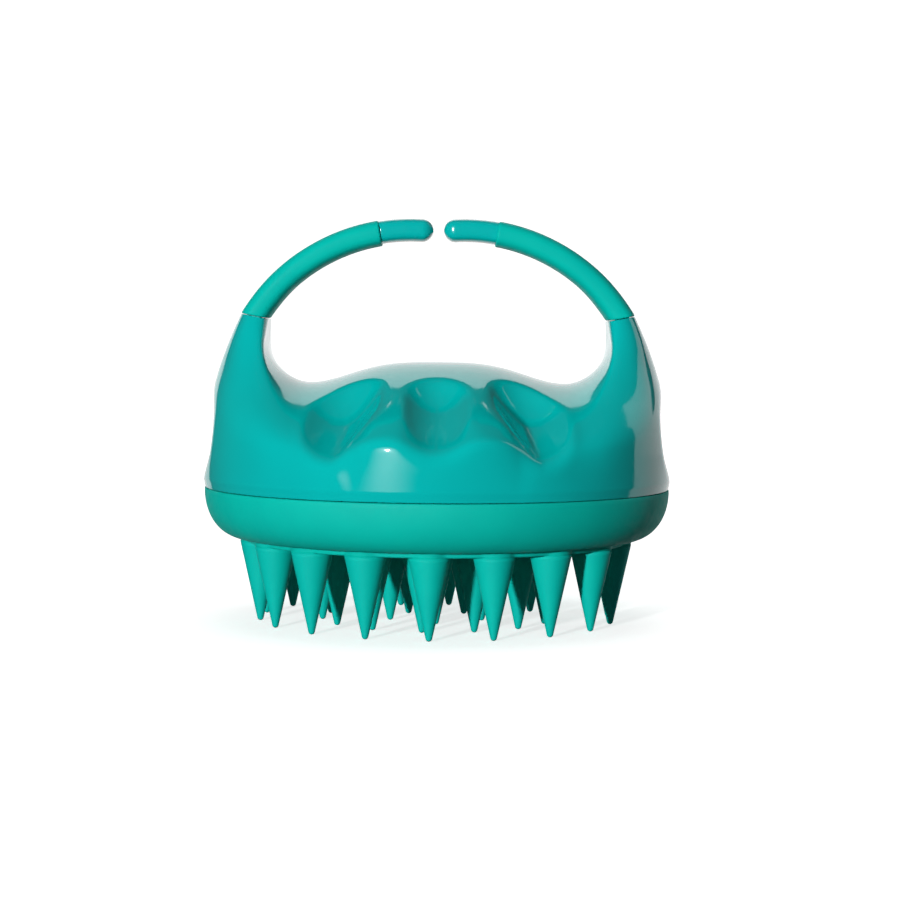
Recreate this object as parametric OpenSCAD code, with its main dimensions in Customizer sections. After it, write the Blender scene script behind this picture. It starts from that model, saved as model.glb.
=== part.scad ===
// Scalp massager brush with two flexible handle arms.
// Millimetres. +Z is up, -Y is the front, and the bristle tips rest on z = 0.

/* [Base] */
// Radius of the round base where the shell meets the silicone pad
base_r = 40; // [36:0.5:44]
// Height of the seam between the shell and the silicone pad
seam_z = 23; // [22:0.5:24]
// Height of the flat underside of the pad
pad_z = 14.6; // [13:0.1:16]
// Thickness of the raised platform under the pad
platform_t = 0.9; // [0.5:0.1:1.5]
// Radius of the raised platform
platform_r = 33; // [32:0.5:34]

/* [Bristles] */
// Radius of a bristle at the platform
bristle_r = 3.5; // [3:0.1:3.7]
// Radius of a bristle's rounded tip
bristle_tip_r = 0.55; // [0.4:0.05:0.8]
// Number of bristles in the outer ring
outer_count = 18; // [12:1:20]
// Radius of the outer ring
outer_ring_r = 30.5; // [29.5:0.1:31]
// Number of bristles in the middle ring
middle_count = 14; // [10:1:14]
// Radius of the middle ring
middle_ring_r = 19.7; // [18.5:0.1:20.5]
// Number of bristles in the inner ring
inner_count = 5; // [3:1:5]
// Radius of the inner ring
inner_ring_r = 8.3; // [8:0.1:9]

/* [Shell] */
// Wall thickness of the shell
wall = 2.2; // [1.8:0.1:2.6]
// Height of the hump in the middle of the saddle
hump_z = 44.6; // [44:0.1:45]
// Height of the two low points of the saddle
valley_z = 41; // [40.5:0.1:41.5]
// Distance of the low points from the middle
valley_x = 22; // [21:0.5:23]
// Steepness of the saddle's front and back slopes, as rise over run
slope = 0.52; // [0.5:0.01:0.56]
// Roundness of the saddle's crest, front to back
crest_round = 13; // [12:0.1:15]
// Radius between a low point and the inner wall of a horn
horn_fillet_r = 7.5; // [7:0.1:8]
// How fast a horn widens towards its foot, front and back, per square millimetre
horn_flare = 0.05; // [0.04:0.005:0.07]

/* [Finger scoops] */
// Distance of the two outer finger scoops from the middle one
scoop_spacing = 15.2; // [14.4:0.2:16]
// How far the outer finger scoops turn outwards
scoop_turn = 10; // [8:1:16]
// Radius of the middle finger scoop
middle_scoop_r = 7; // [6.5:0.1:7.5]
// Radius of an outer finger scoop
outer_scoop_r = 9; // [8:0.1:9.5]
// Depth of a finger scoop below the slope
scoop_depth = 2.8; // [1.5:0.1:3]
// Radius of the thumb scoop on each side
side_scoop_r = 17; // [14:1:20]
// Depth of the thumb scoop on each side
side_scoop_depth = 2.2; // [1.6:0.1:2.4]

/* [Arms] */
// Distance of an arm's centre of curvature from the middle
arm_centre_x = 4.6; // [4.2:0.1:5]
// Height of an arm's centre of curvature
arm_centre_z = 34.9; // [34.5:0.1:35.2]
// Outer radius of the grip sleeve's curve
sleeve_outer_r = 34.45; // [34.3:0.05:34.6]
// Inner radius of the grip sleeve's curve
sleeve_inner_r = 30.05; // [29.9:0.05:30.2]
// Depth of the grip sleeve, front to back
sleeve_depth = 10.4; // [9:0.2:10.8]
// Outer radius of the arm tip's curve
tip_outer_r = 34.3; // [34.1:0.05:34.35]
// Inner radius of the arm tip's curve
tip_inner_r = 30.4; // [30.35:0.05:30.6]
// Depth of the arm tip, front to back
tip_depth = 9.2; // [8:0.2:9.6]
// Thickness of the flexible strip inside an arm
core_t = 2; // [1.6:0.1:2.2]
// Depth of the flexible strip inside an arm
core_depth = 6; // [5:0.2:6.4]
// Gap between the free ends of the two arms
arm_gap = 1.8; // [1.6:0.1:3]
// Angle from the vertical at which the sleeve meets the tip
sleeve_end_angle = 9.7; // [9:0.1:11]

/* [Hidden] */
$fn = 64;

shell_colour = [0.0, 0.72, 0.69];
silicone_colour = [0.0, 0.75, 0.70];
sleeve_colour = [0.02, 0.73, 0.69];
plate_colour = [0.0, 0.55, 0.53];
core_colour = [0.0, 0.45, 0.44];
far = 60;                            // reach of the large cutting blocks
eps = 0.01;
fit_gap = 0.2;                       // clearance between parts that fit into each other

// Bristles
platform_z = pad_z - platform_t;     // the bristles start on the platform's face
platform_root = 0.5;                 // how far the platform runs into the pad
outer_phase = -1.8;
middle_phase = -6.5;
tip_arc_steps = 4;

// Pad and plate
pad_floor_z = pad_z + 2.2;           // top of the pad's floor, under the plate
pad_wall = 3;                        // the pad's wall around the plate
band_inset = 5.5;                    // the band starts this far inside the edge of the base
band_bulge = 0.1;                    // and stands this far outside it at the seam
band_drop = seam_z - pad_z;
band_steps = 8;
band_power_out = 1.1;
band_power_up = 0.9;
plate_r = base_r - pad_wall - fit_gap;
plate_t = 2.4;
plate_hole_r = 6;
rim_z = pad_floor_z + plate_t - 0.5; // the rim and the hooks run into the plate
rim_t = 1.6;
hook_count = 6;
hook_w = 8;
hook_r = 33.6;                       // inner radius of the snap hooks
hook_t = 1.4;
hook_barb = 1;                       // how far a barb sticks out
ledge_z = seam_z + 3;                // the hooks catch on top of the shell's ledge
ledge_r = 35.5;
ledge_t = 1;
ledge_chamfer = 0.6;
barb_h = 2;
barb_z = ledge_z + fit_gap;
hook_top_z = barb_z + barb_h;
hook_room_r = hook_r + hook_t + hook_barb + 0.4;

// Shell
foot_step = 0.3;                     // the shell stands out this far over the pad
foot_step_h = 1.5;
shell_top_z = 54;                    // the horns are cut off below this height
ring_count = 16;
ring_sides = 72;
side_lean = 0.00962;                 // inward lean of the sides, per square millimetre
side_lean_z = 27;
round_over_z = 31.5;                 // the front and back are upright up to here
round_over_h = 15.5;
horn_share = 0.6;                    // the section never gets shallower than this share of the base
hump_power = 1.6;
top_steps = 38;                      // grid of the domed top
top_margin = 2;                      // the grid runs past the outer wall
fillet_centre_z = valley_z + horn_fillet_r;
horn_foot_z = seam_z + 4;            // the horns run down inside the dome to here
horn_reach = 12;                     // the seam plane runs on past the outer wall
horn_top_half = sleeve_depth / 2 + 0.3;
horn_top_z = 53;
horn_shoulder = 1.1;                 // how round the top of a horn is, front to back
horn_outline_steps = 9;
horn_outline_h = 13;
middle_scoop_mid = [0, -27, 38.2];   // on the slope, halfway down the scoop
outer_scoop_mid = [scoop_spacing, -25, 36.7];
scoop_pitch_down = 23;               // how steeply the scoop runs down the slope
scoop_half_run = 6.5;
side_scoop_half_run = 10;
side_scoop_z = 34;
ceiling_drop = 6.5;                  // from the valleys down to the inside ceiling
entry_step = 1;                      // the cavity's mouth is this much tighter than the wall asks
shoulder_run = 3.4;                  // the cavity's shoulder above the hooks
ceiling_edge = [24, 3];              // radius, and drop below the ceiling
ceiling_bend = [16, 0.6];
ceiling_flat_r = 12;

// Arms: the seam plane between a horn and its sleeve, on the right-hand side
seam_outer = [33.95, 52.7];
seam_inner = [29.1, 51.8];
seam_gap = 0.25;
seam_tilt = atan2(seam_outer[1] - seam_inner[1], seam_outer[0] - seam_inner[0]);
seam_mid = (seam_outer + seam_inner) / 2;
core_mid_r = (sleeve_outer_r + sleeve_inner_r) / 2;
core_in_tip = 9;                     // degrees of the curve that the strip runs into the tip
sleeve_end = 90 - sleeve_end_angle;
core_end = sleeve_end + core_in_tip;
plug_len = 7.5;                      // the strip's straight root in the horn
plug_lean = 15;
plug_clearance = 0.1;
plug_overlap = 2;                    // the root starts this far above the seam plane
sleeve_round = 1.6;
tip_round = 1.4;
start_angle = 25;                    // where the arm's curve starts, below the seam plane

// ---- Bristles ----

// Outline of one bristle: a rounded tip on z = 0, then a straight cone.
function bristle_outline() =
    let (length = platform_z - bristle_tip_r,
         lean = atan2(bristle_r - bristle_tip_r, length))
    concat([[0, 0]],
           [for (i = [1 : tip_arc_steps])
                let (t = -90 + (90 - lean) * i / tip_arc_steps)
                [bristle_tip_r * cos(t), bristle_tip_r * (1 + sin(t))]],
           [[bristle_r, platform_z], [0, platform_z]]);

module bristle() {
    rotate_extrude($fn = 32) polygon(bristle_outline());
}

// Copies of the children around the axis. An angle of 0 is the front, -Y.
module ring(count, radius, phase) {
    for (i = [0 : count - 1])
        rotate([0, 0, phase + i * 360 / count])
            translate([0, -radius, 0]) children();
}

module outer_bristles() {
    color(silicone_colour) ring(outer_count, outer_ring_r, outer_phase) bristle();
}

module middle_bristles() {
    color(silicone_colour) ring(middle_count, middle_ring_r, middle_phase) bristle();
}

module inner_bristles() {
    color(silicone_colour) ring(inner_count, inner_ring_r, 0) bristle();
}

module centre_bristle() {
    color(silicone_colour) bristle();
}

// ---- Silicone pad ----

// The band is one soft curve from the underside out to the seam.
function band_point(t) =
    let (a = 90 * t)
    [base_r - band_inset + (band_inset + band_bulge) * pow(sin(a), band_power_out),
     pad_z + band_drop * (1 - pow(cos(a), band_power_up))];

module bristle_pad() {
    color(silicone_colour) {
        rotate_extrude($fn = 96)
            polygon(concat(
                [[0, pad_z]],
                [for (i = [0 : band_steps]) band_point(i / band_steps)],
                [[base_r - pad_wall, seam_z], [base_r - pad_wall, pad_floor_z],
                 [0, pad_floor_z]]));
        // the raised platform, with a round lobe under each bristle of the outer ring
        translate([0, 0, platform_z]) linear_extrude(height = platform_t + platform_root) {
            circle(r = platform_r, $fn = 96);
            ring(outer_count, outer_ring_r, outer_phase) circle(r = bristle_r);
        }
    }
}

// ---- Hidden plate that clamps the pad into the shell ----

module snap_hook() {
    // a tongue with a barb that points outwards
    translate([0, hook_w / 2, 0]) rotate([90, 0, 0])
        linear_extrude(height = hook_w)
            polygon([[hook_r, rim_z], [hook_r + hook_t, rim_z], [hook_r + hook_t, barb_z],
                     [hook_r + hook_t + hook_barb, barb_z], [hook_r + hook_t, hook_top_z],
                     [hook_r, hook_top_z]]);
}

module base_plate() {
    color(plate_colour) {
        difference() {
            translate([0, 0, pad_floor_z]) cylinder(h = plate_t, r = plate_r, $fn = 96);
            translate([0, 0, pad_floor_z - eps]) cylinder(h = plate_t + 2 * eps, r = plate_hole_r);
        }
        // a rim stands on the plate and presses the pad's wall outwards
        difference() {
            translate([0, 0, rim_z]) cylinder(h = seam_z - fit_gap - rim_z, r = plate_r, $fn = 96);
            translate([0, 0, pad_floor_z]) cylinder(h = far, r = plate_r - rim_t, $fn = 96);
        }
        for (i = [0 : hook_count - 1])
            rotate([0, 0, 30 + i * 360 / hook_count]) snap_hook();
    }
}

// ---- Upper shell ----

// Half sizes of the shell's level section, which is an ellipse that narrows upwards.
function foot_r(z) = base_r + foot_step * min(1, (z - seam_z) / foot_step_h);
function half_width(z) = foot_r(z) - side_lean * pow(max(0, z - side_lean_z), 2);
function half_depth(z) =
    foot_r(z) * sqrt(max(pow(horn_share, 2), 1 - pow(max(0, z - round_over_z) / round_over_h, 2)));

module outer_wall() {
    n = ring_sides;
    low = seam_z + foot_step_h;
    heights = concat([seam_z, low],
                     [for (k = [1 : ring_count - 1])
                         low + (shell_top_z - low) * k / (ring_count - 1)]);
    polyhedron(
        points = [for (z = heights) for (j = [0 : n - 1])
                     [half_width(z) * cos(360 * j / n), half_depth(z) * sin(360 * j / n), z]],
        faces = concat(
            [[for (j = [0 : n - 1]) j]],
            [[for (j = [n - 1 : -1 : 0]) ring_count * n + j]],
            [for (k = [0 : ring_count - 1]) for (j = [0 : n - 1])
                let (a = k * n + j, b = k * n + (j + 1) % n)
                each [[a, a + n, b + n], [a, b + n, b]]]));
}

// Height of the saddle's crest between the two horns, at a distance from the middle.
function saddle_z(x) =
    valley_z + (hump_z - valley_z) * (1 + cos(180 * pow(min(1, abs(x) / valley_x), hump_power))) / 2;

// Height of the domed top: the crest, then a slope down to the front and to the back.
function top_z(x, y) = saddle_z(x) - sqrt(pow(crest_round, 2) + pow(slope * y, 2)) + crest_round;

module domed_top() {
    n = top_steps;
    reach = base_r + top_margin;
    m = n + 1;
    at = [for (i = [0 : n]) -reach + 2 * reach * i / n];
    polyhedron(
        points = concat([for (y = at) for (x = at) [x, y, top_z(x, y)]],
                        [for (y = at) for (x = at) if (abs(x) == reach || abs(y) == reach)
                            [x, y, seam_z - top_margin]]),
        faces = domed_top_faces(n, m));
}

// The grid's two triangles a cell, the four sides, and the flat underside.
function domed_top_faces(n, m) =
    let (top = m * m,
         rim = concat([for (i = [0 : n]) i], [for (j = [1 : n]) j * m + n],
                      [for (i = [n - 1 : -1 : 0]) n * m + i], [for (j = [n - 1 : -1 : 1]) j * m]),
         low = concat([for (i = [0 : n]) top + i], [for (j = [1 : n - 1]) top + m + 2 * j - 1],
                      [for (i = [n : -1 : 0]) top + m + 2 * (n - 1) + i],
                      [for (j = [n - 1 : -1 : 1]) top + m + 2 * j - 2]),
         k = len(rim))
    concat([for (j = [0 : n - 1]) for (i = [0 : n - 1])
               let (a = j * m + i)
               each [[a, a + m, a + m + 1], [a, a + m + 1, a + 1]]],
           [for (i = [0 : k - 1])
               let (a = i, b = (i + 1) % k)
               each [[rim[a], rim[b], low[b]], [rim[a], low[b], low[a]]]],
           [low]);

// Front view of the right-hand horn: the fillet, the inner wall and the seam plane.
module horn_profile() {
    seam_dir = (seam_outer - seam_inner) / norm(seam_outer - seam_inner);
    reach = seam_outer + seam_dir * horn_reach;
    polygon(concat(
        [[valley_x, horn_foot_z]],
        [for (a = [-90 : 10 : 0])
            [valley_x + horn_fillet_r * cos(a), fillet_centre_z + horn_fillet_r * sin(a)]],
        [seam_inner, reach, [reach[0], horn_foot_z]]));
}

// Half the depth of a horn, at a distance below its top.
function horn_half(drop) = horn_top_half + horn_shoulder * sqrt(drop) + horn_flare * pow(drop, 2);

// Side view of the two horns, which narrow to the sleeves' depth.
module horn_outline() {
    n = horn_outline_steps;
    drops = [for (i = [0 : n]) horn_outline_h * pow(i / n, 2)];
    right = concat([[horn_top_half, far]],
                   [for (d = drops) [horn_half(d), horn_top_z - d]],
                   [[horn_half(horn_outline_h), horn_foot_z]]);
    polygon(concat(right, [for (i = [len(right) - 1 : -1 : 0]) [-right[i][0], right[i][1]]]));
}

module horn() {
    intersection() {
        translate([0, far, 0]) rotate([90, 0, 0]) linear_extrude(height = 2 * far) horn_profile();
        rotate([90, 0, 90]) linear_extrude(height = far) horn_outline();
    }
}

// A finger scoop that runs down the front slope.
module finger_scoop(mid, turn, r) {
    // two spheres above the slope, one near the crest and one near the wall
    c = cos(scoop_pitch_down);
    s = sin(scoop_pitch_down);
    lift = r - scoop_depth;
    translate(mid) rotate([0, 0, turn]) hull()
        for (u = [-scoop_half_run, scoop_half_run])
            translate([0, -(u * c + lift * s), -u * s + lift * c]) sphere(r = r, $fn = 32);
}

// The three scoops of the front.
module finger_scoops() {
    finger_scoop(middle_scoop_mid, 0, middle_scoop_r);
    finger_scoop(outer_scoop_mid, scoop_turn, outer_scoop_r);
    mirror([1, 0, 0]) finger_scoop(outer_scoop_mid, scoop_turn, outer_scoop_r);
}

// A thumb scoop on the right-hand side.
module side_scoop() {
    hull()
        for (y = [-side_scoop_half_run, side_scoop_half_run])
            translate([base_r + side_scoop_r - side_scoop_depth, y, side_scoop_z])
                sphere(r = side_scoop_r, $fn = 48);
}

// Inside of the shell. A ledge runs round it for the plate's hooks, with room above it.
module cavity() {
    inside_r = base_r - wall;
    ceiling_z = valley_z - ceiling_drop;
    entry_r = inside_r - entry_step;
    rotate_extrude($fn = 72)
        polygon([[0, seam_z - 1], [entry_r, seam_z - 1],
                 [entry_r, ledge_z - ledge_t - ledge_chamfer], [ledge_r, ledge_z - ledge_t],
                 [ledge_r, ledge_z], [hook_room_r, barb_z], [hook_room_r, hook_top_z + fit_gap],
                 [hook_room_r - shoulder_run, hook_top_z + fit_gap + 1],
                 [ceiling_edge[0], ceiling_z - ceiling_edge[1]],
                 [ceiling_bend[0], ceiling_z - ceiling_bend[1]],
                 [ceiling_flat_r, ceiling_z], [0, ceiling_z]]);
}

// The straight root of the flexible strip, in the right-hand horn.
module plug(grow) {
    translate([seam_mid[0], 0, seam_mid[1]]) rotate([0, 180 - plug_lean, 0])
        translate([-core_t / 2 - grow, -core_depth / 2 - grow, -plug_overlap])
            cube([core_t + 2 * grow, core_depth + 2 * grow, plug_len + plug_overlap + grow]);
}

module upper_shell() {
    color(shell_colour) difference() {
        intersection() {
            outer_wall();
            union() {
                domed_top();
                horn();
                mirror([1, 0, 0]) horn();
            }
        }
        finger_scoops();
        rotate([0, 0, 180]) finger_scoops();
        side_scoop();
        mirror([1, 0, 0]) side_scoop();
        cavity();
        plug(plug_clearance);
        mirror([1, 0, 0]) plug(plug_clearance);
    }
}

// ---- Arms, modelled on the right-hand side ----

// A rounded bar of the arm's section, bent along the arm's curve.
// Angles are measured from +X, seen from the front.
module bent_bar(inner_r, outer_r, depth, round_r, from, to) {
    translate([arm_centre_x, 0, arm_centre_z]) rotate([90, 0, 0]) rotate([0, 0, from])
        rotate_extrude(angle = to - from, $fn = 128)
            if (round_r > 0) rounded_section(inner_r, outer_r, depth, round_r);
            else translate([inner_r, -depth / 2]) square([outer_r - inner_r, depth]);
}

module rounded_section(inner_r, outer_r, depth, round_r) {
    translate([inner_r, -depth / 2 + round_r]) square([outer_r - inner_r, depth - 2 * round_r]);
    translate([inner_r + round_r, -depth / 2]) square([outer_r - inner_r - 2 * round_r, depth]);
    for (x = [inner_r + round_r, outer_r - round_r])
        for (y = [-depth / 2 + round_r, depth / 2 - round_r])
            translate([x, y]) circle(r = round_r, $fn = 32);
}

// Everything on the horn's side of the seam plane, plus a gap.
module below_seam(gap) {
    translate([seam_mid[0], 0, seam_mid[1]]) rotate([0, -seam_tilt, 0])
        translate([-far, -far, -2 * far + gap]) cube(2 * far);
}

module core_curve() {
    bent_bar(core_mid_r - core_t / 2, core_mid_r + core_t / 2, core_depth, 0, start_angle, core_end);
}

module arm_core() {
    color(core_colour) {
        difference() {
            core_curve();
            below_seam(0);
        }
        intersection() {
            plug(0);
            below_seam(0);
        }
    }
}

module grip_sleeve() {
    color(sleeve_colour) difference() {
        bent_bar(sleeve_inner_r, sleeve_outer_r, sleeve_depth, sleeve_round, start_angle, sleeve_end);
        core_curve();
        below_seam(seam_gap);
    }
}

module arm_tip() {
    end_r = (tip_outer_r - tip_inner_r) / 2;
    end_mid_r = (tip_outer_r + tip_inner_r) / 2;
    end_angle = 90 + asin((arm_centre_x - arm_gap / 2 - end_r) / end_mid_r);
    color(shell_colour) difference() {
        union() {
            bent_bar(tip_inner_r, tip_outer_r, tip_depth, tip_round, sleeve_end, end_angle);
            // round free end
            translate([arm_centre_x, 0, arm_centre_z]) rotate([0, -end_angle, 0])
                translate([end_mid_r, 0, 0]) {
                    rotate([90, 0, 0]) cylinder(h = tip_depth - 2 * end_r, r = end_r, center = true);
                    for (y = [-1, 1])
                        translate([0, y * (tip_depth / 2 - end_r), 0]) sphere(r = end_r);
                }
        }
        core_curve();
    }
}

module right_arm_core() { arm_core(); }
module right_grip_sleeve() { grip_sleeve(); }
module right_arm_tip() { arm_tip(); }
module left_arm_core() { mirror([1, 0, 0]) arm_core(); }
module left_grip_sleeve() { mirror([1, 0, 0]) grip_sleeve(); }
module left_arm_tip() { mirror([1, 0, 0]) arm_tip(); }

upper_shell();
base_plate();
bristle_pad();
outer_bristles();
middle_bristles();
inner_bristles();
centre_bristle();
left_arm_core();
left_grip_sleeve();
left_arm_tip();
right_arm_core();
right_grip_sleeve();
right_arm_tip();
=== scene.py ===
"""Looks of the scalp massager brush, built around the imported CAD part.

Shapes are worked out in millimetres, in the frame of the CAD part: +Z is up, -Y is the front,
and the bristle tips rest on z = 0. They are written to Blender in metres.
"""

import math

import bmesh
import bpy
import numpy as np
from mathutils import Matrix, Vector


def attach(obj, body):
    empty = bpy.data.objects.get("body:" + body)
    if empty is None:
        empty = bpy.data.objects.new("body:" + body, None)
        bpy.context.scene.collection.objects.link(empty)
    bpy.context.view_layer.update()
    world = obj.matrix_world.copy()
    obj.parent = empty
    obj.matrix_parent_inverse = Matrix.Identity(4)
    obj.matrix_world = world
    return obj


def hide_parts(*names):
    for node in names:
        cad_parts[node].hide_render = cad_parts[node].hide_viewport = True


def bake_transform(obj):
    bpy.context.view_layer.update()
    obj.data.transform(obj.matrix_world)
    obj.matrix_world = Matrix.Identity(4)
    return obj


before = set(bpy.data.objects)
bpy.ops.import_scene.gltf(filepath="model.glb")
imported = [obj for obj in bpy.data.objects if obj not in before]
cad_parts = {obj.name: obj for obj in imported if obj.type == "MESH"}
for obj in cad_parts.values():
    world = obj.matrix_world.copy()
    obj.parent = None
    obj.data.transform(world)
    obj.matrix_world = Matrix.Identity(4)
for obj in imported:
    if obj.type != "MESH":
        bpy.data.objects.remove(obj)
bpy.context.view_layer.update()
MM = 0.001

# ---- Dimensions that are the same in the CAD part ----

BASE_R = 40.0
SEAM_Z = 23.0
PAD_Z = 14.6
PLATFORM_Z = 13.7
PLATFORM_R = 33.0
PAD_WALL = 3.0
PAD_FLOOR_Z = 16.8

BRISTLE_R = 3.5
BRISTLE_TIP_R = 0.55
# rings of bristles: CAD node, count, radius, angle of the first one from the front
RINGS = [("outer_bristles", 18, 30.5, -1.8),
         ("middle_bristles", 14, 19.7, -6.5),
         ("inner_bristles", 5, 8.3, 0.0),
         ("centre_bristle", 1, 0.0, 0.0)]

FOOT_STEP = 0.3
FOOT_STEP_H = 1.5
SIDE_LEAN = 0.00962
SIDE_LEAN_Z = 27.0
ROUND_OVER_Z = 31.5
ROUND_OVER_H = 15.5
HORN_SHARE = 0.6
HUMP_POWER = 1.6

HUMP_Z = 44.6
VALLEY_Z = 41.0
VALLEY_X = 22.0
SLOPE = 0.52
CREST_ROUND = 13.0
HORN_FILLET_R = 7.5
HORN_TOP_Z = 53.0
HORN_SHOULDER = 1.1
HORN_FLARE = 0.05
SEAM_OUTER = np.array([33.95, 52.7])
SEAM_INNER = np.array([29.1, 51.8])
SEAM_TILT = math.atan2(*(SEAM_OUTER - SEAM_INNER)[::-1])

SIDE_SCOOP_R = 17.0
SIDE_SCOOP_DEPTH = 2.2
SIDE_SCOOP_HALF_RUN = 10.0
SIDE_SCOOP_Z = 34.0

ARM_CENTRE = np.array([4.6, 34.9])
SLEEVE_OUTER_R = 34.45
SLEEVE_INNER_R = 30.05
SLEEVE_DEPTH = 10.4
SLEEVE_END = math.radians(90 - 9.7)
TIP_OUTER_R = 34.3
TIP_INNER_R = 30.4
TIP_DEPTH = 9.2
ARM_GAP = 1.8

BAND_INSET = 5.5
BAND_BULGE = 0.1

# ---- Dimensions of the looks alone, which differ from the CAD part or are finer ----

SHELL_WALL = 2.4
CEILING_Z = 34.0
HORN_LEAN = 0.12
FOOT_GAP = 0.12
SEAM_GAP = 0.1

SCOOP_FALL = 0.375
SCOOP_START = 2.5
SCOOP_UPTURN = 0.04
# finger scoops: middle point on the slope, turn, depth, width towards the middle and how fast
# it narrows downwards, width away from the middle, softness of the inner rim
SCOOPS = [((0.0, 27.0, 38.4), 0.0, 2.9, 5.4, 0.0, 5.4, 0.0),
          ((15.9, 25.0, 36.6), 9.0, 3.3, 5.0, 0.02, 6.4, 2.8)]

# how square the arm's sections are: 2 is an ellipse
SLEEVE_SQUARENESS = 3.1
TIP_SQUARENESS = 3.4

# the grid that the shell is found on, and the parts of it that are cut at the seams
GRID_LOW = (-42, -42, 21.0)
GRID_HIGH = (42, 42, 55.0)
HORN_PART_X = 20
HORN_PART_Z = 48
FOOT_PART_Z = 26

# ---- Looks ----

EDGE_WEAR = 0.12
# the key light: how far it is to the left of the camera, in degrees, and what it points at
KEY_AZIMUTH = 24.0
BRUSH_MID_Z = 0.035
# the camera, fitted to the photograph: place in metres, lens in mm, turns in degrees
CAMERA_PLACE = (0.00222, -0.41684, 0.05216)
CAMERA_LENS = 96.3
CAMERA_DOWN = 3.132
CAMERA_ROLL = 0.451


# ---- Shaping helpers ----

def smoothstep(value, low, high):
    t = np.clip((value - low) / (high - low), 0, 1)
    return t * t * (3 - 2 * t)


def blend_min(a, b, k):
    """The smaller of two distances, with a soft crease of width k."""
    h = np.clip(1 - np.abs(a - b) / k, 0, 1)
    return np.minimum(a, b) - h ** 3 * k / 6


def blend_max(a, b, k):
    return -blend_min(-a, -b, k)


# ---- The shell's shape, as a distance that is negative inside ----

def foot_r(z):
    return BASE_R + FOOT_STEP * np.minimum(1, (z - SEAM_Z) / FOOT_STEP_H)


def half_width(z):
    return foot_r(z) - SIDE_LEAN * np.maximum(0, z - SIDE_LEAN_Z) ** 2


def half_depth(z):
    share = 1 - (np.maximum(0, z - ROUND_OVER_Z) / ROUND_OVER_H) ** 2
    return foot_r(z) * np.sqrt(blend_max(share, np.full_like(z, HORN_SHARE ** 2), 0.5))


def wall_distance(x, y, z):
    """Distance to the outer wall, whose level section is an ellipse."""
    a, b = half_width(z), half_depth(z)
    q = np.sqrt((x / a) ** 2 + (y / b) ** 2) + 1e-9
    return q * (q - 1) / (np.sqrt(x ** 2 / a ** 4 + y ** 2 / b ** 4) + 1e-9)


def saddle_z(x):
    """Height of the crest between the two horns."""
    wave = np.cos(math.pi * np.minimum(1, x / VALLEY_X) ** HUMP_POWER)
    return VALLEY_Z + (HUMP_Z - VALLEY_Z) * (1 + wave) / 2


def slope_drop(y):
    """How far the domed top lies below its crest, at a distance in front of or behind it."""
    return np.sqrt(CREST_ROUND ** 2 + (SLOPE * y) ** 2) - CREST_ROUND


def slope_fall(y):
    """How steeply the domed top falls there."""
    return SLOPE ** 2 * y / np.sqrt(CREST_ROUND ** 2 + (SLOPE * y) ** 2)


def top_distance(x, y, z):
    """Distance to the domed top, from its height and its two slopes."""
    step = 0.05
    run = (saddle_z(x + step) - saddle_z(np.abs(x - step))) / (2 * step)
    fall = slope_fall(y)
    return (z - saddle_z(x) + slope_drop(y)) / np.sqrt(1 + run ** 2 + fall ** 2)


def horn_half(z):
    """Half the depth of a horn, front to back."""
    drop = np.maximum(0, HORN_TOP_Z - z)
    return SLEEVE_DEPTH / 2 + 0.3 + HORN_SHOULDER * np.sqrt(drop) + HORN_FLARE * drop ** 2


def inner_wall_distance(x, y, z):
    """Distance to the saddle where it turns up into a horn: a fillet, then the inner wall."""
    fall = slope_fall(y)
    level = z + slope_drop(y)
    fillet_z = VALLEY_Z + HORN_FILLET_R
    below = np.maximum(0, fillet_z - level)
    reach = np.hypot(x - VALLEY_X, below) + 1e-9
    lean = HORN_LEAN * np.maximum(0, level - fillet_z)
    return (HORN_FILLET_R - reach - lean) / np.sqrt(1 + (fall * below / reach) ** 2)


def raised_distance(x, y, z):
    """The domed top together with the two horns."""
    top = top_distance(x, y, z)
    inner = np.where(x < VALLEY_X, top, inner_wall_distance(x, y, z))
    corner = 1.8 + 2.2 * smoothstep(z, 46, 52)
    horn = blend_max(inner, (y - horn_half(z)) / 1.15, corner)
    merge = 0.05 + 8 * smoothstep(x, VALLEY_X, 31)
    return blend_min(top, horn, merge)


def scoop_cut(d, x, y, z, mid, turn, depth, inner, taper, outer, soft):
    """Cuts one finger scoop: a channel that starts steeply and runs straight down the slope."""
    c, s = math.cos(math.radians(turn)), math.sin(math.radians(turn))
    out = (y - mid[1]) * c + (x - mid[0]) * s
    across = (x - mid[0]) * c - (y - mid[1]) * s
    start = np.maximum(0, -out - SCOOP_START)
    width = np.where(across < 0, inner * np.clip(1 - taper * out, 0.5, 1.4), outer)
    floor = (mid[2] - depth - SCOOP_FALL * out + SCOOP_UPTURN * start ** 2
             + depth * (across / width) ** 2)
    along = SCOOP_FALL + 2 * SCOOP_UPTURN * start
    side = 2 * depth * across / width ** 2
    cut = (floor - z) / np.sqrt(1 + along ** 2 + side ** 2)
    rim = soft * smoothstep(-across, 1, 5) * smoothstep(out, -8, 0)
    return blend_max(d, -cut, 1.0 + rim + 2.6 * smoothstep(out, 5, 13))


def side_scoop_distance(x, y, z):
    """Distance to a ball drawn out front to back, which cuts the thumb scoop."""
    out = x - (BASE_R + SIDE_SCOOP_R - SIDE_SCOOP_DEPTH)
    along = np.maximum(0, y - SIDE_SCOOP_HALF_RUN)
    return np.sqrt(out ** 2 + along ** 2 + (z - SIDE_SCOOP_Z) ** 2) - SIDE_SCOOP_R


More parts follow.
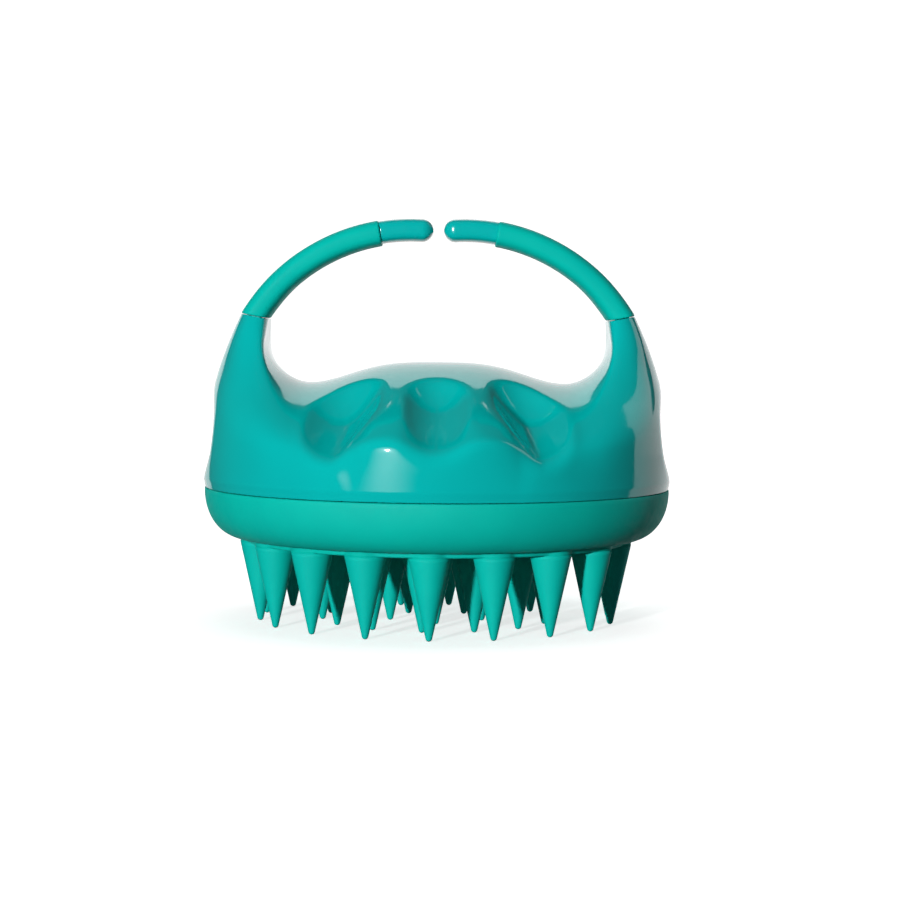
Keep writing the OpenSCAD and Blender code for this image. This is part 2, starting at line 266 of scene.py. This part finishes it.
def outside_distance(x, y, z):
    """Distance to the outer surface. The edge of the top is crisp in front and soft at the sides."""
    x, y = np.abs(x), np.abs(y)
    azimuth = np.degrees(np.arctan2(x, y))
    up = raised_distance(x, y, z)
    high = smoothstep(z, 38, 46)
    edge = 2.0 + 8.0 * smoothstep(azimuth, 18, 42) * (1 - high) + 2.5 * high
    d = blend_max(wall_distance(x, y, z), up, edge)
    for scoop in SCOOPS:
        d = scoop_cut(d, x, y, z, *scoop)
    return blend_max(d, -side_scoop_distance(x, y, z), 1.5)


def shell_distance(x, y, z):
    """The outside, hollowed to a wall that is closed above."""
    outside = outside_distance(x, y, z)
    hollow = np.maximum(outside + SHELL_WALL, z - CEILING_Z)
    return np.maximum(outside, -hollow)


def gradient(field, p, step=0.05):
    """How fast a distance changes along x, y and z at each point."""
    g = np.empty_like(p)
    for axis in range(3):
        d = np.zeros(3)
        d[axis] = step
        g[:, axis] = field(*(p + d).T) - field(*(p - d).T)
    return g / (2 * step)


def cube_points(values):
    """Which cubes of a grid the surface crosses, and the middle of its crossings with each."""
    total = np.zeros([n - 1 for n in values.shape] + [3])
    count = np.zeros([n - 1 for n in values.shape])
    offsets = [(i, j) for i in (0, 1) for j in (0, 1)]
    for axis in range(3):
        others = [a for a in range(3) if a != axis]
        first = [slice(None)] * 3
        second = [slice(None)] * 3
        first[axis], second[axis] = slice(0, -1), slice(1, None)
        a, b = values[tuple(first)], values[tuple(second)]
        cross = (a < 0) != (b < 0)
        t = np.where(cross, a / np.where(cross, a - b, 1), 0)
        for i, j in offsets:
            part = [slice(None)] * 3
            for other, o in zip(others, (i, j)):
                part[other] = slice(o, values.shape[other] - 1 + o)
            part = tuple(part)
            c = cross[part]
            count += c
            total[..., axis] += np.where(c, t[part], 0)
            total[..., others[0]] += c * i
            total[..., others[1]] += c * j
    used = count > 0
    return used, np.argwhere(used) + total[used] / count[used][:, None]


def cube_faces(inside, index):
    """A face between four cubes wherever the grid line that they share crosses the surface."""
    faces = []
    for axis in range(3):
        u, v = [(axis + 1) % 3, (axis + 2) % 3]
        first = [slice(1, -1)] * 3
        second = [slice(1, -1)] * 3
        first[axis], second[axis] = slice(0, -1), slice(1, None)
        a, b = inside[tuple(first)], inside[tuple(second)]
        at = np.argwhere(a != b)
        flip = b[tuple(at.T)]
        shift = np.ones(3, int)
        shift[axis] = 0
        at = at + shift
        du, dv = np.eye(3, dtype=int)[u], np.eye(3, dtype=int)[v]
        quad = np.stack([index[tuple((at - o).T)] for o in (du + dv, dv, 0 * du, du)], 1)
        quad[flip] = quad[flip][:, ::-1]
        faces.append(quad)
    return np.concatenate(faces)


def surface(field, low, high, cell):
    """Points and four-sided faces where the field is zero, from a grid of cubes."""
    axes = [np.arange(a, b + cell, cell) for a, b in zip(low, high)]
    values = field(*np.meshgrid(*axes, indexing="ij"))
    used, places = cube_points(values)
    index = np.full(used.shape, -1)
    index[used] = np.arange(used.sum())
    return places * cell + np.array(low), cube_faces(values < 0, index)


def settled(field, points, rounds=5):
    """The points, moved onto the surface along the field's gradient."""
    for _ in range(rounds):
        g = gradient(field, points)
        d = field(*points.T)
        points = points - g * (d / np.maximum(0.2, (g ** 2).sum(1)))[:, None]
    return points


# ---- Mesh building ----

def new_object(name, points, faces, material):
    mesh = bpy.data.meshes.new(name)
    mesh.from_pydata(np.asarray(points) * MM, [], [list(map(int, f)) for f in faces])
    mesh.validate()
    mesh.materials.append(material)
    mesh.shade_smooth()
    piece = bpy.data.objects.new(name, mesh)
    bpy.context.scene.collection.objects.link(piece)
    return piece


def tube(rings):
    """Points and faces of a skin over closed rings of as many points each, closed at both ends."""
    rings = np.asarray(rings)
    m, n = rings.shape[:2]
    points = np.concatenate([rings.reshape(-1, 3), [rings[0].mean(0)], [rings[-1].mean(0)]])
    faces = []
    for k in range(m - 1):
        for j in range(n):
            a, b = k * n + j, k * n + (j + 1) % n
            faces.append([a, b, b + n, a + n])
    for j in range(n):
        faces.append([(j + 1) % n, j, m * n])
        faces.append([(m - 1) * n + j, (m - 1) * n + (j + 1) % n, m * n + 1])
    return points, faces


def lathe_rings(profile, count):
    """A ring of points for each (radius, height) of the profile."""
    angles = np.arange(count) * 2 * math.pi / count
    return [[[r * math.cos(a), r * math.sin(a), z] for a in angles] for r, z in profile]


# ---- Pieces ----

def cut_and_round(bm, faces, point, normal, radius=0.15, steps=3):
    """Cuts these faces at a plane, closes the cut and rounds its edge."""
    point, normal = Vector(point) * MM, Vector(normal).normalized()
    geometry = list({v for f in faces for v in f.verts}) + list({e for f in faces for e in f.edges})
    cut = bmesh.ops.bisect_plane(bm, geom=geometry + list(faces), dist=1e-7,
                                 plane_co=point - normal * radius * MM, plane_no=normal,
                                 clear_outer=True)
    edges = [e for e in cut["geom_cut"] if isinstance(e, bmesh.types.BMEdge) and e.is_boundary]
    side = bm.verts.layers.float_vector["side"]
    for v in {v for e in edges for v in e.verts}:
        p = np.array(v.co)[None] / MM
        g = gradient(shell_distance, p)[0]
        g -= np.array(normal) * (g @ np.array(normal))
        v[side] = g / np.linalg.norm(g)
    rim = edges
    for k in range(1, steps + 1):
        made = bmesh.ops.extrude_edge_only(bm, edges=rim)["geom"]
        rim = [e for e in made if isinstance(e, bmesh.types.BMEdge) and e.is_boundary]
        before, now = (math.pi / 2 * (k - 1) / steps, math.pi / 2 * k / steps)
        up = (math.sin(now) - math.sin(before)) * radius * MM
        inward = (math.cos(before) - math.cos(now)) * radius * MM
        for v in [v for v in made if isinstance(v, bmesh.types.BMVert)]:
            v.co += normal * up - Vector(v[side]) * inward
    bmesh.ops.triangle_fill(bm, use_beauty=True, edges=rim, normal=normal)


def shell_mesh():
    """The shell's surface, cut where each sleeve starts and where the pad ends."""
    cell = 0.6
    points, faces = surface(shell_distance, GRID_LOW, GRID_HIGH, cell)
    points = settled(shell_distance, points)
    mesh = bpy.data.meshes.new("shell")
    mesh.from_pydata(points * MM, [], faces.tolist())
    bm = bmesh.new()
    bm.from_mesh(mesh)
    bm.verts.layers.float_vector.new("side")
    mid = (SEAM_OUTER + SEAM_INNER) / 2
    for sign in (-1, 1):
        near = [f for f in bm.faces if sign * f.calc_center_median().x > HORN_PART_X * MM
                and f.calc_center_median().z > HORN_PART_Z * MM]
        cut_and_round(bm, near, (sign * mid[0], 0, mid[1]),
                      (-sign * math.sin(SEAM_TILT), 0, math.cos(SEAM_TILT)))
    low = [f for f in bm.faces if f.calc_center_median().z < FOOT_PART_Z * MM]
    cut_and_round(bm, low, (0, 0, SEAM_Z + FOOT_GAP), (0, 0, -1))
    bm.to_mesh(mesh)
    bm.free()
    return mesh


def shade_exactly(mesh):
    """Normals from the shape itself, so that gloss runs evenly.

    Where they turn far from a face, as on the flat cuts, the face keeps its own.
    """
    p = np.empty(len(mesh.vertices) * 3)
    mesh.vertices.foreach_get("co", p)
    p = p.reshape(-1, 3) / MM
    g = gradient(shell_distance, p, 0.1)
    g /= np.linalg.norm(g, axis=1)[:, None] + 1e-12
    size = np.empty(len(mesh.polygons), int)
    mesh.polygons.foreach_get("loop_total", size)
    vertex = np.empty(len(mesh.loops), int)
    mesh.loops.foreach_get("vertex_index", vertex)
    normals = g[vertex]
    face_normal = np.empty(len(mesh.polygons) * 3)
    mesh.polygons.foreach_get("normal", face_normal)
    face_normal = face_normal.reshape(-1, 3)
    owner = np.repeat(np.arange(len(mesh.polygons)), size)
    far = (normals * face_normal[owner]).sum(1) < 0.8
    normals[far] = face_normal[owner][far]
    mesh.normals_split_custom_set(normals.tolist())


def shell(material):
    """The gloss shell, hollow and open below."""
    mesh = shell_mesh()
    mesh.materials.append(material)
    mesh.shade_smooth()
    piece = bpy.data.objects.new("shell_gloss", mesh)
    bpy.context.scene.collection.objects.link(piece)
    shade_exactly(mesh)
    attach(piece, "shell")
    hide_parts("upper_shell")
    return piece


def arm_rings(inner_r, outer_r, half, exponent, inner_angles, outer_angles, insets, count=56):
    """Rings of a bar bent along the arm's curve. An inset shrinks a ring at a rounded end."""
    t = np.arange(count) * 2 * math.pi / count
    c, s = np.cos(t), np.sin(t)
    across = np.sign(c) * np.abs(c) ** (2 / exponent)
    deep = np.sign(s) * np.abs(s) ** (2 / exponent)
    rings = []
    for a, b, ri, ro, inset in zip(inner_angles, outer_angles, inner_r, outer_r, insets):
        p = ARM_CENTRE + ri * np.array([math.cos(a), math.sin(a)])
        q = ARM_CENTRE + ro * np.array([math.cos(b), math.sin(b)])
        mid, run = (p + q) / 2, (q - p) / 2
        scale = 1 - inset / np.linalg.norm(run)
        xz = mid + run * scale * across[:, None]
        rings.append(np.stack([xz[:, 0], -(half - inset) * deep, xz[:, 1]], 1))
    return rings


def mirrored(points, faces, side):
    """The right arm's piece as it is, or mirrored for the left arm."""
    if side > 0:
        return points, faces
    return points * np.array([-1, 1, 1]), [list(f)[::-1] for f in faces]


def angle_of(point):
    return math.atan2(*(point - ARM_CENTRE)[::-1])


def sleeve(name, side, material):
    """The soft sleeve. It starts on the tilted seam plane and ends square to the arm's curve."""
    steps = 64
    share = np.concatenate([[0, 0, 0], np.linspace(0, 1, steps), [1, 1, 1]])
    inset = np.concatenate([[0.3, 0.08, 0.02], np.zeros(steps), [0.03, 0.12, 0.4]])
    round_end = np.concatenate([[0.0, 0.002, 0.006], np.full(steps, 0.01), [0.006, 0.002, 0.0]])
    near_end = 1 - np.clip(np.minimum(share, 1 - share) * 20, 0, 1)
    slip = np.where(share < 0.5, 1, -1) * round_end * near_end
    lift = SEAM_GAP * np.array([-math.sin(SEAM_TILT), math.cos(SEAM_TILT)])
    fade = 1 - smoothstep(share, 0, 0.35)
    radii, angles = [], []
    for corner, radius in ((SEAM_INNER, SLEEVE_INNER_R), (SEAM_OUTER, SLEEVE_OUTER_R)):
        first = np.linalg.norm(corner + lift - ARM_CENTRE)
        radii.append(radius + (first - radius) * fade)
        start = angle_of(corner + lift)
        angles.append(start + (SLEEVE_END - start) * share + slip)
    rings = arm_rings(*radii, SLEEVE_DEPTH / 2, SLEEVE_SQUARENESS, *angles, inset)
    points, faces = mirrored(*tube(rings), side)
    piece = new_object(name + "_sleeve_soft", points, faces, material)
    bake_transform(piece)
    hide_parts(name + "_grip_sleeve")
    return piece


def tip(name, side, material):
    """The gloss end of an arm, with a round free end."""
    half = (TIP_OUTER_R - TIP_INNER_R) / 2
    mid_r = (TIP_OUTER_R + TIP_INNER_R) / 2
    end = math.pi / 2 + math.asin((ARM_CENTRE[0] - ARM_GAP / 2 - half) / mid_r)
    steps, end_steps = 26, 12
    angles = [SLEEVE_END - 0.004] * 2
    angles += [SLEEVE_END + (end - SLEEVE_END) * k / (steps - 1) for k in range(steps)]
    inset = [0.5, 0.1] + [0.0] * steps
    for k in range(1, end_steps + 1):
        t = math.pi / 2 * k / (end_steps + 0.5)
        angles.append(end + half * math.sin(t) / mid_r)
        inset.append(half * (1 - math.cos(t)))
    n = len(angles)
    rings = arm_rings([TIP_INNER_R] * n, [TIP_OUTER_R] * n, TIP_DEPTH / 2, TIP_SQUARENESS,
                      angles, angles, inset)
    points, faces = mirrored(*tube(rings), side)
    piece = new_object(name + "_tip_gloss", points, faces, material)
    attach(piece, name + "_arm")
    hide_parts(name + "_arm_tip")
    return piece


def band_profile(steps=20):
    """The silicone band's curve, from the pad's underside out to the seam."""
    drop = SEAM_Z - PAD_Z
    for k in range(steps + 1):
        a = math.pi / 2 * k / steps
        yield (BASE_R - BAND_INSET + (BAND_INSET + BAND_BULGE) * math.sin(a) ** 1.1,
               PAD_Z + drop * (1 - max(0.0, math.cos(a)) ** 0.9))


def platform_edge(angle):
    """Radius of the raised platform, which has a round lobe under each outer bristle."""
    _, count, ring_r, phase = RINGS[0]
    pitch = 2 * math.pi / count
    first = math.radians(phase) - math.pi / 2
    off = (angle - first + pitch / 2) % pitch - pitch / 2
    across = ring_r * math.sin(abs(off))
    if across >= BRISTLE_R:
        return PLATFORM_R
    return max(PLATFORM_R, ring_r * math.cos(off) + math.sqrt(BRISTLE_R ** 2 - across ** 2))


def pad(material):
    """The pad: platform, underside, band, and the wall inside that the plate fits."""
    count = 432
    angles = np.arange(count) * 2 * math.pi / count
    edge = np.array([platform_edge(a) for a in angles])
    circle = np.stack([np.cos(angles), np.sin(angles)], 1)

    def ring(radius, z):
        radius = np.broadcast_to(radius, (count,))
        return np.column_stack([circle * radius[:, None], np.full(count, z)])

    rings = [ring(r, PLATFORM_Z) for r in (2.0, 12.0, 22.0, 29.0)]
    rings += [ring(edge - 0.3, PLATFORM_Z), ring(edge - 0.09, PLATFORM_Z + 0.09),
              ring(edge, PLATFORM_Z + 0.3), ring(edge, PAD_Z - 0.1), ring(edge + 0.1, PAD_Z)]
    rings += [ring(r, z) for r, z in list(band_profile())[:-1]]
    rings += [ring(BASE_R + 0.08, SEAM_Z - 0.22), ring(BASE_R + 0.02, SEAM_Z - 0.06),
              ring(BASE_R - 0.2, SEAM_Z)]
    rings += [ring(BASE_R - PAD_WALL, SEAM_Z), ring(BASE_R - PAD_WALL, PAD_FLOOR_Z),
              ring(10.0, PAD_FLOOR_Z), ring(2.0, PAD_FLOOR_Z)]
    points, faces = tube(rings[::-1])
    piece = new_object("pad_silicone_band", points, faces, material)
    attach(piece, "shell")
    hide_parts("bristle_pad")
    return piece


def bristle_profile():
    """A rounded tip on z = 0, then a straight cone up to the platform."""
    length = PLATFORM_Z - BRISTLE_TIP_R
    lean = math.atan2(BRISTLE_R - BRISTLE_TIP_R, length)
    out = []
    for k in range(1, 9):
        t = -math.pi / 2 + (math.pi / 2 - lean) * k / 8
        out.append((BRISTLE_TIP_R * math.cos(t), BRISTLE_TIP_R * (1 + math.sin(t))))
    r0, z0 = out[-1]
    for share in (0.15, 0.3, 0.45, 0.6, 0.75, 0.88, 0.95):
        out.append((r0 + (BRISTLE_R - r0) * share, z0 + (PLATFORM_Z - z0) * share))
    out.append((BRISTLE_R, PLATFORM_Z + 0.05))
    return out


def bristles(node, count, ring_r, phase, material):
    """One ring of bristles, as one piece."""
    cone_points, cone_faces = tube(lathe_rings(bristle_profile(), 40))
    points, faces = [], []
    for i in range(count):
        a = math.radians(phase + i * 360 / count)
        faces += [[v + len(points) * len(cone_points) for v in f] for f in cone_faces]
        points.append(cone_points + [ring_r * math.sin(a), -ring_r * math.cos(a), 0])
    piece = new_object(node + "_silicone", np.concatenate(points), faces, material)
    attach(piece, "shell")
    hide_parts(node)
    return piece


# ---- Materials ----

def shader(name):
    """A new material, its tree and its shader."""
    material = bpy.data.materials.new(name)
    material.use_nodes = True
    tree = material.node_tree
    return material, tree, tree.nodes["Principled BSDF"]


def coordinates(tree):
    node = tree.nodes.new("ShaderNodeTexCoord")
    return node.outputs["Object"]


def noise(tree, scale, detail=3.0):
    node = tree.nodes.new("ShaderNodeTexNoise")
    node.inputs["Scale"].default_value = scale
    node.inputs["Detail"].default_value = detail
    tree.links.new(coordinates(tree), node.inputs["Vector"])
    return node.outputs["Fac"]


def spread(tree, value, low, high):
    """Maps 0.3..0.7 of a noise to low..high."""
    node = tree.nodes.new("ShaderNodeMapRange")
    node.inputs["From Min"].default_value = 0.3
    node.inputs["From Max"].default_value = 0.7
    node.inputs["To Min"].default_value = low
    node.inputs["To Max"].default_value = high
    tree.links.new(value, node.inputs["Value"])
    return node.outputs["Result"]


def two_colours(tree, value, first, second):
    node = tree.nodes.new("ShaderNodeMix")
    node.data_type = "RGBA"
    node.inputs["A"].default_value = (*first, 1)
    node.inputs["B"].default_value = (*second, 1)
    tree.links.new(value, node.inputs["Factor"])
    return node.outputs["Result"]


def bump(tree, value, strength, distance, under=None):
    node = tree.nodes.new("ShaderNodeBump")
    node.inputs["Strength"].default_value = strength
    node.inputs["Distance"].default_value = distance
    tree.links.new(value, node.inputs["Height"])
    if under is not None:
        tree.links.new(under, node.inputs["Normal"])
    return node.outputs["Normal"]


def worn_edges(tree, value, low, high):
    """Adds a little to a value along the edges, where handling wears the surface."""
    geometry = tree.nodes.new("ShaderNodeNewGeometry")
    edge = tree.nodes.new("ShaderNodeMapRange")
    edge.inputs["From Min"].default_value = low
    edge.inputs["From Max"].default_value = high
    edge.inputs["To Max"].default_value = EDGE_WEAR
    tree.links.new(geometry.outputs["Pointiness"], edge.inputs["Value"])
    total = tree.nodes.new("ShaderNodeMath")
    total.operation = "ADD"
    tree.links.new(value, total.inputs[0])
    tree.links.new(edge.outputs["Result"], total.inputs[1])
    return total.outputs["Value"]


def moulded_plastic(name, first, second, rough):
    """Glossy moulded plastic: a faint ripple from the mould and small changes of gloss."""
    material, tree, bsdf = shader(name)
    tree.links.new(two_colours(tree, spread(tree, noise(tree, 60), 0, 1), first, second),
                   bsdf.inputs["Base Color"])
    gloss = spread(tree, noise(tree, 400, 4), rough - 0.02, rough + 0.03)
    tree.links.new(worn_edges(tree, gloss, 0.52, 0.6), bsdf.inputs["Roughness"])
    tree.links.new(bump(tree, noise(tree, 90, 1), 0.25, 0.00002), bsdf.inputs["Normal"])
    bsdf.inputs["IOR"].default_value = 1.5
    return material


def silicone(name, first, second):
    """Matte silicone: a fine grain and a soft bloom."""
    material, tree, bsdf = shader(name)
    tree.links.new(two_colours(tree, spread(tree, noise(tree, 150, 4), 0, 1), first, second),
                   bsdf.inputs["Base Color"])
    gloss = spread(tree, noise(tree, 900, 2), 0.55, 0.7)
    tree.links.new(worn_edges(tree, gloss, 0.55, 0.7), bsdf.inputs["Roughness"])
    grain = bump(tree, noise(tree, 5000, 2), 0.3, 0.00002)
    tree.links.new(bump(tree, noise(tree, 250, 2), 0.15, 0.00005, grain), bsdf.inputs["Normal"])
    bsdf.inputs["Specular IOR Level"].default_value = 0.12
    return material


def soft_touch(name, first, second):
    """Soft-touch rubber: a fine grain with a dull sheen."""
    material, tree, bsdf = shader(name)
    tree.links.new(two_colours(tree, spread(tree, noise(tree, 120, 3), 0, 1), first, second),
                   bsdf.inputs["Base Color"])
    gloss = spread(tree, noise(tree, 700, 3), 0.38, 0.5)
    tree.links.new(worn_edges(tree, gloss, 0.53, 0.65), bsdf.inputs["Roughness"])
    tree.links.new(bump(tree, noise(tree, 3500, 2), 0.3, 0.00002), bsdf.inputs["Normal"])
    bsdf.inputs["Specular IOR Level"].default_value = 0.03
    return material


def linear(r, g, b):
    """A colour from its usual 0..255 values."""
    return tuple((c / 255 / 12.92) if c <= 10 else ((c / 255 + 0.055) / 1.055) ** 2.4
                 for c in (r, g, b))


# ---- Studio ----

def matte(name, colour, glow):
    """A matte surface that glows white."""
    material, _, bsdf = shader(name)
    bsdf.inputs["Base Color"].default_value = (*colour, 1)
    bsdf.inputs["Roughness"].default_value = 1.0
    bsdf.inputs["Specular IOR Level"].default_value = 0.0
    bsdf.inputs["Emission Color"].default_value = (1, 1, 1, 1)
    bsdf.inputs["Emission Strength"].default_value = glow
    return material


def stage_plane(name, corners, material):
    """A flat piece of the studio, which isn't part of the brush."""
    mesh = bpy.data.meshes.new(name)
    mesh.from_pydata(corners, [], [list(range(len(corners)))])
    mesh.materials.append(material)
    piece = bpy.data.objects.new(name, mesh)
    bpy.context.scene.collection.objects.link(piece)
    return piece


def area_light(name, place, target, size, power):
    data = bpy.data.lights.new(name, "AREA")
    data.shape = "DISK"
    data.size = size
    data.energy = power
    light = bpy.data.objects.new(name, data)
    light.location = place
    light.rotation_euler = (Vector(target) - Vector(place)).to_track_quat("-Z", "Y").to_euler()
    bpy.context.scene.collection.objects.link(light)
    return light


def from_key(distance, elevation):
    """A place to the left of the camera, seen from the brush at the key light's azimuth."""
    azimuth, height = math.radians(KEY_AZIMUTH), math.radians(elevation)
    return (-distance * math.sin(azimuth), -distance * math.cos(azimuth),
            BRUSH_MID_Z + distance * math.tan(height))


def soft_screen():
    """A round screen near the key light, bright in the middle and fading out to its edge.

    Only glossy surfaces see it: it gives the soft fan of light under the sharp spot.
    """
    radius, count = 0.55, 48
    centre = Vector(from_key(distance=1.5, elevation=7.5))
    facing = (Vector((0, 0, BRUSH_MID_Z)) - centre).to_track_quat("Z", "Y")
    corners = [tuple(centre + facing @ Vector((radius * math.cos(a), radius * math.sin(a), 0)))
               for a in (2 * math.pi * i / count for i in range(count))]
    material, tree, bsdf = shader("soft_screen")
    bsdf.inputs["Base Color"].default_value = (0, 0, 0, 1)
    bsdf.inputs["Specular IOR Level"].default_value = 0.0
    bsdf.inputs["Emission Color"].default_value = (1, 1, 1, 1)
    glow = glow_by_distance(tree, tuple(centre), near=0.02, far=radius, low=5.4, high=0.0)
    tree.links.new(glow, bsdf.inputs["Emission Strength"])
    screen = stage_plane("soft_screen", corners, material)
    screen.visible_diffuse = False
    screen.visible_camera = False


def camera():
    """The photograph's camera, looking slightly down at the front."""
    data = bpy.data.cameras.new("camera")
    data.sensor_width = 36.0
    data.lens = CAMERA_LENS
    data.clip_start = 0.01
    data.clip_end = 20.0
    cam = bpy.data.objects.new("camera", data)
    down, roll = math.radians(CAMERA_DOWN), math.radians(CAMERA_ROLL)
    turn = Matrix.Rotation(math.pi / 2 - down, 4, "X") @ Matrix.Rotation(roll, 4, "Z")
    cam.matrix_world = Matrix.Translation(CAMERA_PLACE) @ turn
    bpy.context.scene.collection.objects.link(cam)
    bpy.context.scene.camera = cam


def glow_by_distance(tree, centre, near, far, low, high):
    """A value that goes smoothly from low, nearer than near, to high, beyond far."""
    length = tree.nodes.new("ShaderNodeVectorMath")
    length.operation = "DISTANCE"
    length.inputs[1].default_value = centre
    tree.links.new(coordinates(tree), length.inputs[0])
    ramp = tree.nodes.new("ShaderNodeMapRange")
    ramp.interpolation_type = "SMOOTHSTEP"
    for name, value in (("From Min", near), ("From Max", far), ("To Min", low), ("To Max", high)):
        ramp.inputs[name].default_value = value
    tree.links.new(length.outputs["Value"], ramp.inputs["Value"])
    return ramp.outputs["Result"]


def floor_paper():
    """Pale paper that glows, with a painted shadow under the brush where the glow is a little less,
    and much less glow far behind it.
    """
    material, tree, bsdf = shader("floor_paper")
    bsdf.inputs["Base Color"].default_value = (0.8, 0.8, 0.8, 1)
    bsdf.inputs["Roughness"].default_value = 1.0
    bsdf.inputs["Specular IOR Level"].default_value = 0.0
    bsdf.inputs["Emission Color"].default_value = (1, 1, 1, 1)
    both = tree.nodes.new("ShaderNodeMath")
    both.operation = "MULTIPLY"
    # painted shadow: the glow drops from 1.0 to 0.85 near the brush, standing in for its contact
    # shadow on the floor
    under = glow_by_distance(tree, (0, 0, 0), near=0.02, far=0.12, low=0.85, high=1.0)
    behind = glow_by_distance(tree, (0, 0.3, 0), near=0.45, far=0.9, low=0.85, high=0.5)
    tree.links.new(under, both.inputs[0])
    tree.links.new(behind, both.inputs[1])
    tree.links.new(both.outputs["Value"], bsdf.inputs["Emission Strength"])
    return material


def backdrop(reach, back):
    """Its outline decides which surfaces look pale: low on the left, tall on the far right."""
    low, left, panel, tower = -0.64, -0.5, 0.2, 0.8
    shelf, high, tall = 0.25, 0.64, 1.6
    outline = [(left, low), (reach, low), (reach, tall), (tower, tall), (tower, shelf),
               (panel, shelf), (panel, high), (-panel, high), (-panel, shelf), (left, shelf)]
    stage_plane("backdrop", [(x, back, z) for x, z in outline],
                matte("wall_paper", (0.5, 0.5, 0.5), 0.9))


def pale_world(lit, seen_level):
    """A world that looks pale to the camera but lights the brush only a little."""
    world = bpy.context.scene.world or bpy.data.worlds.new("world")
    bpy.context.scene.world = world
    world.use_nodes = True
    tree = world.node_tree
    background = tree.nodes["Background"]
    background.inputs["Color"].default_value = (1, 1, 1, 1)
    path = tree.nodes.new("ShaderNodeLightPath")
    level = tree.nodes.new("ShaderNodeMapRange")
    level.inputs["To Min"].default_value = lit
    level.inputs["To Max"].default_value = seen_level
    tree.links.new(path.outputs["Is Camera Ray"], level.inputs["Value"])
    tree.links.new(level.outputs["Result"], background.inputs["Strength"])


def studio():
    """Not a plain studio: what the brush reflects is chosen to match the photograph.

    The floor is hidden from reflections and bounced light, and the overhead light from reflections.
    """
    reach, back = 2.0, 0.75
    floor = stage_plane("floor", [(-reach, -reach, 0), (reach, -reach, 0), (reach, back, 0),
                                  (-reach, back, 0)], floor_paper())
    floor.visible_glossy = False
    floor.visible_diffuse = False
    backdrop(reach, back)
    pale_world(lit=0.05, seen_level=0.9)
    area_light("key", from_key(distance=1.2, elevation=6.0), (0, 0, BRUSH_MID_Z),
               size=0.07, power=13.0)
    soft_screen()
    overhead = area_light("overhead", (0, 0.1, 1.1), (0, 0.1, 0), size=0.8, power=3.0)
    overhead.visible_glossy = False
    bpy.context.scene.view_settings.view_transform = "Standard"


# ---- Assembly ----

TEAL = linear(0, 190, 186)
TEAL_DEEP = linear(0, 185, 182)
gloss = moulded_plastic("shell_gloss_plastic", TEAL, TEAL_DEEP, 0.07)
tip_gloss = moulded_plastic("tip_gloss_plastic", TEAL, TEAL_DEEP, 0.14)
hidden_plastic = moulded_plastic("inner_plastic", linear(0, 150, 143), linear(0, 140, 135), 0.35)
pad_soft = silicone("pad_silicone", linear(0, 197, 180), linear(0, 191, 176))
bristle_soft = silicone("bristle_silicone", linear(0, 197, 182), linear(0, 190, 178))
rubber = soft_touch("sleeve_rubber", linear(6, 196, 182), linear(4, 190, 178))

camera()
shell(gloss)
pad(pad_soft)
for node, count, ring_r, phase in RINGS:
    bristles(node, count, ring_r, phase, bristle_soft)
for name, side in (("left", -1), ("right", 1)):
    sleeve(name, side, rubber)
    tip(name, side, tip_gloss)
for node in ("base_plate", "left_arm_core", "right_arm_core"):
    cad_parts[node].data.materials.clear()
    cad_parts[node].data.materials.append(hidden_plastic)
studio()
